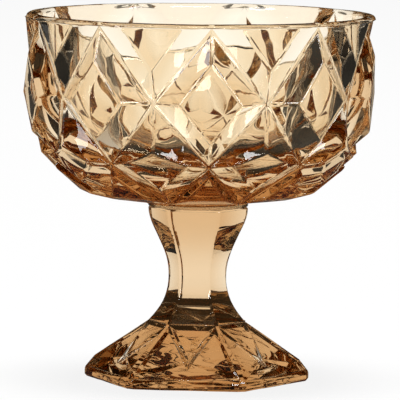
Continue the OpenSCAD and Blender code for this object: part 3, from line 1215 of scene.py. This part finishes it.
@dataclass
class Studio:
    """Pale floor and soft light, with a dim card of painted shade, grey aprons and a white sweep that only
    the glass sees. The dim card stands in for the floor in the cup's shadow.

    The edges of the sweep and the aprons are measured from the middle of the cup, to the right or away from
    the camera.

    Attributes:
        facing: Angle of the line of sight round the axis, as the camera's turn.
        floor_size: Width of the floor.
        floor_drop: Gap between the floor and the foot.
        floor_white: Whiteness of the floor.
        shadow_kept: Share of the shadow that shows on the floor itself.
        top_light_size: Width of the light over the cup.
        top_light_height: Height of that light.
        top_light_watts: Power of that light.
        shade_card_size: Width of the dim card of painted shade.
        shade_card_glow: Brightness of the dim card of painted shade.
        card_step: Step in height from the floor to the dim card of painted shade and on to each further card.
        apron_gap: Gap from the middle of the cup to the apron in front and to the one on the left.
        apron_glow: Brightness of the aprons.
        sweep_left: Left edge of the sweep.
        sweep_right: Right edge of the sweep.
        sweep_start: Near edge of the sweep.
        sweep_back: Where the sweep turns upright.
        sweep_top: Height of the sweep's upright back.
        sweep_glow: Brightness of the sweep.
        boxes: Soft boxes, seen only as reflections.
        box_aim: Height that the soft boxes are aimed at.
        front_ramp: Brightness of the surround by how far a direction leads away from the camera.
        ceiling_ramp: Brightness of the surround by how steeply a direction leads up.
    """

    facing: float
    floor_size: float = 4.0
    floor_drop: float = 0.15 * MM
    floor_white: float = 0.9
    shadow_kept: float = 0.12
    top_light_size: float = 1.1
    top_light_height: float = 3.0
    top_light_watts: float = 105.0
    shade_card_size: float = 3.0
    shade_card_glow: float = 0.05
    card_step: float = 0.05 * MM
    apron_gap: float = 0.1
    apron_glow: float = 0.6
    sweep_left: float = -0.16
    sweep_right: float = 0.15
    sweep_start: float = 0.034
    sweep_back: float = 0.15
    sweep_top: float = 0.25
    sweep_glow: float = 1.15
    boxes: tuple[SoftBox, ...] = (
        SoftBox("left_soft_box", turn=-47.0, lift=18.0, width=0.3, tall=0.25, watts=1.8),
        SoftBox("front_strip", turn=8.0, lift=21.0, width=0.4, tall=0.16, watts=2.6),
        SoftBox("right_strip", turn=50.0, lift=17.0, width=0.16, tall=0.22, watts=1.2),
    )
    box_aim: float = 80.0 * MM
    front_ramp: Ramp = Ramp(start=0.15, end=-0.25, first=0.02, last=0.6)
    ceiling_ramp: Ramp = Ramp(start=0.57, end=0.74, first=0.0, last=0.2)

    def __post_init__(self) -> None:
        """Works out the directions away from the camera and to its right."""
        angle = math.radians(self.facing)
        self.away = Vector((-math.sin(angle), math.cos(angle), 0.0))
        self.right = Vector((math.cos(angle), math.sin(angle), 0.0))

    def build(self) -> None:
        """Lays the floor and the cards, hangs the lights and paints the surround."""
        self.lay_floor()
        self.lay_cards()
        self.hang_top_light()
        for box in self.boxes:
            self.hang_box(box)
        self.paint_surround()

    def lay_floor(self) -> None:
        """Lays the pale floor just under the foot. It looks white, and keeps the cup's shadow."""
        bpy.ops.object.select_all(action="DESELECT")
        bpy.ops.mesh.primitive_plane_add(size=self.floor_size, location=(0.0, 0.0, -self.floor_drop))
        floor = bpy.context.object
        floor.name = "pale_floor"
        tree = blank_material(floor)
        output = tree.nodes.new("ShaderNodeOutputMaterial")
        lit = tree.nodes.new("ShaderNodeBsdfDiffuse")
        lit.inputs["Color"].default_value = (self.floor_white, self.floor_white, self.floor_white, 1.0)
        white = tree.nodes.new("ShaderNodeEmission")
        white.inputs["Color"].default_value = WHITE
        path = tree.nodes.new("ShaderNodeLightPath")
        seen = tree.nodes.new("ShaderNodeMath")
        seen.operation = "MULTIPLY"
        seen.inputs[1].default_value = 1.0 - self.shadow_kept
        blend = tree.nodes.new("ShaderNodeMixShader")
        tree.links.new(path.outputs["Is Camera Ray"], seen.inputs[0])
        tree.links.new(seen.outputs["Value"], blend.inputs["Fac"])
        tree.links.new(lit.outputs["BSDF"], blend.inputs[1])
        tree.links.new(white.outputs["Emission"], blend.inputs[2])
        tree.links.new(blend.outputs["Shader"], output.inputs["Surface"])

    def lay_cards(self) -> None:
        """Lays the dim card of painted shade, the aprons in front and on the left, and the sweep with its
        upright back.
        """
        half = self.shade_card_size / 2
        # The lowest card, called table here, is the dim sheet of painted shade under and round the cup.
        table = self.card_step - self.floor_drop
        apron = table + self.card_step
        sweep = apron + self.card_step
        wide = (-half, half)
        beyond = (-half, -self.apron_gap)
        beside = (-self.apron_gap, self.apron_gap)
        across = (self.sweep_left, self.sweep_right)
        behind = (self.sweep_start, self.sweep_back)
        upright = (self.sweep_back, self.sweep_back)
        # Painted shade: a dim card that the glass sees in place of the floor where the cup's shadow falls.
        self.card("painted_shade_card", wide, wide, (table, table), self.shade_card_glow, mirrored=True)
        self.card("front_apron", wide, beyond, (apron, apron), self.apron_glow)
        self.card("left_apron", beyond, beside, (apron, apron), self.apron_glow)
        self.card("sweep_table", across, behind, (sweep, sweep), self.sweep_glow)
        self.card("sweep_back", across, upright, (sweep, self.sweep_top), self.sweep_glow)

    def card(self, name: str, across: Span, away: Span, tall: Span, glow: float,
             mirrored: bool = False) -> None:
        """Sets up one flat card, which the camera and the floor do not see.

        Args:
            name: Name of the card.
            across: Its left and right edge.
            away: How far behind the cup its near and its far edge lie.
            tall: Height of its near and of its far edge.
            glow: Brightness of the card.
            mirrored: Whether the outside of the glass mirrors it.
        """
        bpy.ops.object.select_all(action="DESELECT")
        bpy.ops.mesh.primitive_plane_add()
        card = bpy.context.object
        card.name = name
        for vertex in card.data.vertices:
            far = int(vertex.co.y > 0)
            side = across[int(vertex.co.x > 0)]
            vertex.co = self.right * side + self.away * away[far] + Vector((0.0, 0.0, tall[far]))
        tree = blank_material(card)
        output = tree.nodes.new("ShaderNodeOutputMaterial")
        light = tree.nodes.new("ShaderNodeEmission")
        light.inputs["Strength"].default_value = glow
        tree.links.new(light.outputs["Emission"], output.inputs["Surface"])
        card.visible_camera = False
        card.visible_diffuse = False
        card.visible_glossy = mirrored
        card.visible_shadow = False

    def hang_top_light(self) -> None:
        """Hangs a wide soft light over the cup, which lights the floor and is not mirrored in the glass."""
        lamp = area_lamp("top_light", self.top_light_size, self.top_light_size, self.top_light_watts)
        lamp.location = (0.0, 0.0, self.top_light_height)
        lamp.visible_glossy = False
        lamp.visible_transmission = False

    def hang_box(self, box: SoftBox) -> None:
        """Hangs a soft box in front of the cup, seen only as a reflection.

        Args:
            box: The soft box.
        """
        angle = math.radians(box.turn)
        rise = math.radians(box.lift)
        out = (self.right * math.sin(angle) - self.away * math.cos(angle)) * math.cos(rise)
        out.z = math.sin(rise)
        lamp = area_lamp(box.name, box.width, box.tall, box.watts)
        lamp.location = out * box.distance + Vector((0.0, 0.0, self.box_aim))
        lamp.rotation_euler = out.to_track_quat("Z", "Y").to_euler()
        lamp.visible_diffuse = False
        lamp.visible_transmission = False

    def paint_surround(self) -> None:
        """Paints the surround: white to the camera, and to the glass grey in front and dim overhead."""
        world = bpy.data.worlds.new("studio_surround")
        bpy.context.scene.world = world
        world.use_nodes = True
        tree = world.node_tree
        background = tree.nodes["Background"]
        background.inputs["Color"].default_value = WHITE
        place = tree.nodes.new("ShaderNodeTexCoord").outputs["Generated"]
        ahead = tree.nodes.new("ShaderNodeVectorMath")
        ahead.operation = "DOT_PRODUCT"
        ahead.inputs[1].default_value = self.away
        tree.links.new(place, ahead.inputs[0])
        parts = tree.nodes.new("ShaderNodeSeparateXYZ")
        tree.links.new(place, parts.inputs["Vector"])
        front = self.front_ramp.add(tree, ahead.outputs["Value"])
        ceiling = self.ceiling_ramp.add(tree, parts.outputs["Z"])
        path = tree.nodes.new("ShaderNodeLightPath")
        shown = brighter(tree, brighter(tree, front, ceiling), path.outputs["Is Camera Ray"])
        tree.links.new(shown, background.inputs["Strength"])
        world.cycles_visibility.diffuse = False
        world.cycles_visibility.glossy = False


@dataclass
class PhotoCamera:
    """Camera at the viewing angle of the photograph.

    Attributes:
        turn: Angle round the axis from -Y towards +X, in degrees.
        lift: Angle above the horizon, in degrees.
        distance: Distance to the middle of the cup.
        lens: Focal length in millimetres.
        sensor: Width of the sensor in millimetres.
        reach: Greatest distance that it sees.
        roll: Turn about the line of sight, in degrees.
        middle: Height of the middle of the cup.
        slide: Shift of the aim to the right and upwards in the picture.
    """

    turn: float = 6.0
    lift: float = 5.7
    distance: float = 1.575
    lens: float = 472.8
    sensor: float = 36.0
    reach: float = 20.0
    roll: float = 0.6
    middle: float = 55.0 * MM
    slide: tuple[float, float] = (0.54 * MM, -1.08 * MM)

    def build(self) -> None:
        """Sets up the camera and makes it the scene's own."""
        turn = math.radians(self.turn)
        lift = math.radians(self.lift)
        back = Vector((math.sin(turn) * math.cos(lift), -math.cos(turn) * math.cos(lift), math.sin(lift)))
        right = Vector((math.cos(turn), math.sin(turn), 0.0))
        aim = Vector((0.0, 0.0, self.middle)) + right * self.slide[0] + back.cross(right) * self.slide[1]
        data = bpy.data.cameras.new("photo_camera")
        data.lens = self.lens
        data.sensor_width = self.sensor
        data.clip_end = self.reach
        camera = bpy.data.objects.new("photo_camera", data)
        bpy.context.scene.collection.objects.link(camera)
        camera.location = aim + back * self.distance
        camera.rotation_euler = back.to_track_quat("Z", "Y").to_euler()
        camera.rotation_euler.rotate_axis("Z", math.radians(self.roll))
        bpy.context.scene.camera = camera


def main() -> None:
    """Builds the cup piece by piece on the CAD frame, and the camera and the studio round it."""
    logging.basicConfig(level=logging.INFO, format="%(name)s: %(message)s")
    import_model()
    scene = bpy.context.scene
    scene.view_settings.view_transform = "Standard"
    scene.cycles.max_bounces = GLASS_BOUNCES
    scene.cycles.glossy_bounces = MIRROR_BOUNCES
    scene.cycles.transmission_bounces = GLASS_BOUNCES
    camera = PhotoCamera()
    camera.build()
    glass = AmberGlass()
    for pressing in (BowlPressing(), JoiningWafer(), StemAndFoot()):
        piece = pressing.build()
        pressing.dress(piece, glass)
        LOG.info("%s: %d faces", piece.name, len(piece.data.polygons))
    Studio(facing=camera.turn).build()


if __name__ == "__main__":
    main()
